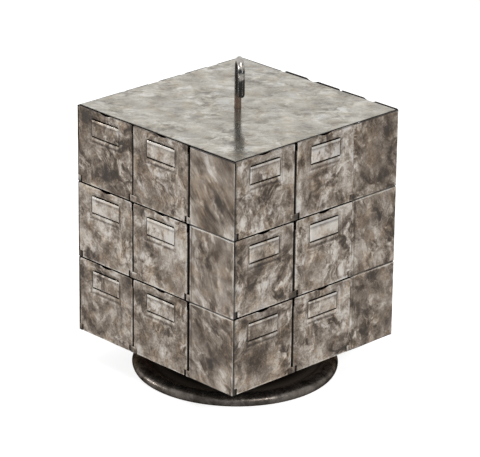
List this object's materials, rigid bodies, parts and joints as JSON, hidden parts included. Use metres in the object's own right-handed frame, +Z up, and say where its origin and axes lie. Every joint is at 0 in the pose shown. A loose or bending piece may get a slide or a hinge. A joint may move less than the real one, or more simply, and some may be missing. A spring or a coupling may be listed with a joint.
{
  "type": "revolving parts bin",
  "caption": "Square sheet-steel cabinet of small parts bins, three tiers set pinwheel fashion, turning on a round cast base about a spindle with a hook at its top.",
  "frame": {"origin": "on the floor, on the turning axis, at the middle of the base's underside", "axes": "+Z up along the spindle; the cabinet's front face looks towards -Y at rest, its right face towards +X"},
  "size_m": [0.307, 0.311, 0.4552],
  "materials": {
    "bin_steel": "bare sheet steel, wire-brushed over old patina",
    "carcass_steel": "bare sheet steel, wire-brushed over old patina",
    "top_steel": "bare sheet steel, brushed bright",
    "cast_iron": "dark iron with a soft gloss",
    "hook_steel": "dark polished rod, rusty at its foot",
    "hardware": "plain steel",
    "race_steel": "ground steel",
    "bearing_brass": "dull bronze"
  },
  "bodies": {
    "base": {"base_casting": "cast_iron", "spindle_hook": "hook_steel", "spindle_nut_lower": "hardware", "spindle_nut_upper": "hardware", "spindle_washer": "hardware", "bearing_race_lower": "race_steel"},
    "ball_ring": {"bearing_balls": "race_steel", "ball_cage": "bearing_brass"},
    "cabinet": {"bearing_race_upper": "race_steel", "pivot_flange": "cast_iron", "pivot_rivets": "hardware", "centre_tube": "carcass_steel", "bush_lower": "bearing_brass", "bush_upper": "bearing_brass", "top_plate": "top_steel", "shelf_lower": "carcass_steel", "shelf_middle": "carcass_steel", "shelf_upper": "carcass_steel", "dividers_lower": "carcass_steel", "dividers_middle": "carcass_steel", "dividers_upper": "carcass_steel", "side_sheet_lower_front": "carcass_steel", "side_sheet_lower_right": "carcass_steel", "side_sheet_lower_back": "carcass_steel", "side_sheet_lower_left": "carcass_steel", "side_sheet_middle_front": "carcass_steel", "side_sheet_middle_right": "carcass_steel", "side_sheet_middle_back": "carcass_steel", "side_sheet_middle_left": "carcass_steel", "side_sheet_upper_front": "carcass_steel", "side_sheet_upper_right": "carcass_steel", "side_sheet_upper_back": "carcass_steel", "side_sheet_upper_left": "carcass_steel"},
    "bin_lower_front_a": {"bin_lower_front_a": "bin_steel"},
    "bin_lower_front_b": {"bin_lower_front_b": "bin_steel"},
    "bin_lower_right_a": {"bin_lower_right_a": "bin_steel"},
    "bin_lower_right_b": {"bin_lower_right_b": "bin_steel"},
    "bin_lower_back_a": {"bin_lower_back_a": "bin_steel"},
    "bin_lower_back_b": {"bin_lower_back_b": "bin_steel"},
    "bin_lower_left_a": {"bin_lower_left_a": "bin_steel"},
    "bin_lower_left_b": {"bin_lower_left_b": "bin_steel"},
    "bin_middle_front_a": {"bin_middle_front_a": "bin_steel"},
    "bin_middle_front_b": {"bin_middle_front_b": "bin_steel"},
    "bin_middle_right_a": {"bin_middle_right_a": "bin_steel"},
    "bin_middle_right_b": {"bin_middle_right_b": "bin_steel"},
    "bin_middle_back_a": {"bin_middle_back_a": "bin_steel"},
    "bin_middle_back_b": {"bin_middle_back_b": "bin_steel"},
    "bin_middle_left_a": {"bin_middle_left_a": "bin_steel"},
    "bin_middle_left_b": {"bin_middle_left_b": "bin_steel"},
    "bin_upper_front_a": {"bin_upper_front_a": "bin_steel"},
    "bin_upper_front_b": {"bin_upper_front_b": "bin_steel"},
    "bin_upper_right_a": {"bin_upper_right_a": "bin_steel"},
    "bin_upper_right_b": {"bin_upper_right_b": "bin_steel"},
    "bin_upper_back_a": {"bin_upper_back_a": "bin_steel"},
    "bin_upper_back_b": {"bin_upper_back_b": "bin_steel"},
    "bin_upper_left_a": {"bin_upper_left_a": "bin_steel"},
    "bin_upper_left_b": {"bin_upper_left_b": "bin_steel"}
  },
  "joints": [
    {"name": "cabinet_spin", "type": "hinge", "parent": "base", "child": "cabinet", "pos_m": [0, 0, 0.05015], "axis": [0, 0, 1], "continuous": true},
    {"name": "ball_ring_turn", "type": "hinge", "parent": "base", "child": "ball_ring", "pos_m": [0, 0, 0.03908], "axis": [0, 0, 1], "continuous": true},
    {"name": "slide_lower_front_a", "type": "slide", "parent": "cabinet", "child": "bin_lower_front_a", "axis": [0, -1, 0], "range_m": [0, 0.08]},
    {"name": "slide_lower_front_b", "type": "slide", "parent": "cabinet", "child": "bin_lower_front_b", "axis": [0, -1, 0], "range_m": [0, 0.08]},
    {"name": "slide_lower_right_a", "type": "slide", "parent": "cabinet", "child": "bin_lower_right_a", "axis": [1, 0, 0], "range_m": [0, 0.08]},
    {"name": "slide_lower_right_b", "type": "slide", "parent": "cabinet", "child": "bin_lower_right_b", "axis": [1, 0, 0], "range_m": [0, 0.08]},
    {"name": "slide_lower_back_a", "type": "slide", "parent": "cabinet", "child": "bin_lower_back_a", "axis": [0, 1, 0], "range_m": [0, 0.08]},
    {"name": "slide_lower_back_b", "type": "slide", "parent": "cabinet", "child": "bin_lower_back_b", "axis": [0, 1, 0], "range_m": [0, 0.08]},
    {"name": "slide_lower_left_a", "type": "slide", "parent": "cabinet", "child": "bin_lower_left_a", "axis": [-1, 0, 0], "range_m": [0, 0.08]},
    {"name": "slide_lower_left_b", "type": "slide", "parent": "cabinet", "child": "bin_lower_left_b", "axis": [-1, 0, 0], "range_m": [0, 0.08]},
    {"name": "slide_middle_front_a", "type": "slide", "parent": "cabinet", "child": "bin_middle_front_a", "axis": [0, -1, 0], "range_m": [0, 0.08]},
    {"name": "slide_middle_front_b", "type": "slide", "parent": "cabinet", "child": "bin_middle_front_b", "axis": [0, -1, 0], "range_m": [0, 0.08]},
    {"name": "slide_middle_right_a", "type": "slide", "parent": "cabinet", "child": "bin_middle_right_a", "axis": [1, 0, 0], "range_m": [0, 0.08]},
    {"name": "slide_middle_right_b", "type": "slide", "parent": "cabinet", "child": "bin_middle_right_b", "axis": [1, 0, 0], "range_m": [0, 0.08]},
    {"name": "slide_middle_back_a", "type": "slide", "parent": "cabinet", "child": "bin_middle_back_a", "axis": [0, 1, 0], "range_m": [0, 0.08]},
    {"name": "slide_middle_back_b", "type": "slide", "parent": "cabinet", "child": "bin_middle_back_b", "axis": [0, 1, 0], "range_m": [0, 0.08]},
    {"name": "slide_middle_left_a", "type": "slide", "parent": "cabinet", "child": "bin_middle_left_a", "axis": [-1, 0, 0], "range_m": [0, 0.08]},
    {"name": "slide_middle_left_b", "type": "slide", "parent": "cabinet", "child": "bin_middle_left_b", "axis": [-1, 0, 0], "range_m": [0, 0.08]},
    {"name": "slide_upper_front_a", "type": "slide", "parent": "cabinet", "child": "bin_upper_front_a", "axis": [0, -1, 0], "range_m": [0, 0.08]},
    {"name": "slide_upper_front_b", "type": "slide", "parent": "cabinet", "child": "bin_upper_front_b", "axis": [0, -1, 0], "range_m": [0, 0.08]},
    {"name": "slide_upper_right_a", "type": "slide", "parent": "cabinet", "child": "bin_upper_right_a", "axis": [1, 0, 0], "range_m": [0, 0.08]},
    {"name": "slide_upper_right_b", "type": "slide", "parent": "cabinet", "child": "bin_upper_right_b", "axis": [1, 0, 0], "range_m": [0, 0.08]},
    {"name": "slide_upper_back_a", "type": "slide", "parent": "cabinet", "child": "bin_upper_back_a", "axis": [0, 1, 0], "range_m": [-0.003, 0.077]},
    {"name": "slide_upper_back_b", "type": "slide", "parent": "cabinet", "child": "bin_upper_back_b", "axis": [0, 1, 0], "range_m": [-0.004, 0.076]},
    {"name": "slide_upper_left_a", "type": "slide", "parent": "cabinet", "child": "bin_upper_left_a", "axis": [-1, 0, 0], "range_m": [0, 0.08]},
    {"name": "slide_upper_left_b", "type": "slide", "parent": "cabinet", "child": "bin_upper_left_b", "axis": [-1, 0, 0], "range_m": [0, 0.08]}
  ],
  "couplings": [
    {"joint": "ball_ring_turn", "follows": "cabinet_spin", "ratio": 0.5}
  ]
}
